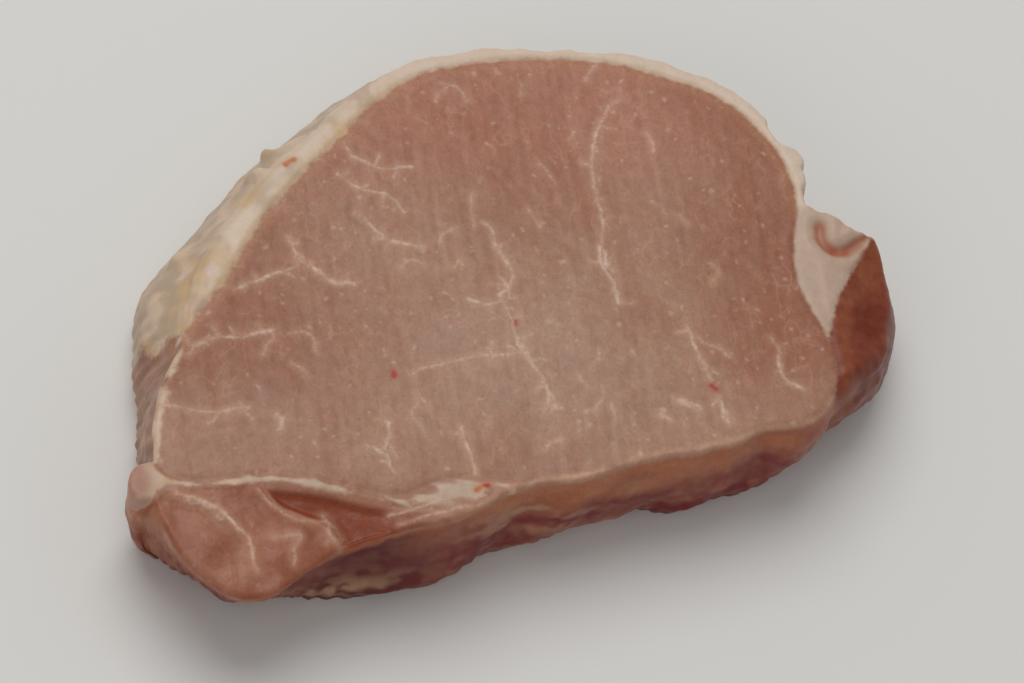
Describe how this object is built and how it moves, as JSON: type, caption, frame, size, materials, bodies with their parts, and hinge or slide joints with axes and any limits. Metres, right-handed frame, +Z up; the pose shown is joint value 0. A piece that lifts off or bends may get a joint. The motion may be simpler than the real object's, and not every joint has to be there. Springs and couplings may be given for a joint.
{
  "type": "raw pork chop",
  "caption": "Raw boneless pork loin chop, a thick oval slice with a fat cap, a side muscle and a small flap, lying flat with its cut face up.",
  "frame": {"origin": "under the middle of the chop's box, on the surface that it lies on", "axes": "+X along the chop's long way towards the side muscle, +Y towards the fat cap, +Z up out of the cut face"},
  "size_m": [0.123, 0.0926, 0.0206],
  "materials": {
    "loin_lean": "satin",
    "cap_fat": "satin",
    "wedge_fat": "satin",
    "side_lean": "satin",
    "seam_fat": "satin",
    "strip_lean": "satin",
    "flap_lean": "satin"
  },
  "bodies": {
    "root": {"loin_eye": "loin_lean", "fat_cap": "cap_fat", "side_fat": "wedge_fat", "side_muscle": "side_lean", "seam_fat": "seam_fat", "flap_strip": "strip_lean", "flap_muscle": "flap_lean"}
  },
  "joints": []
}
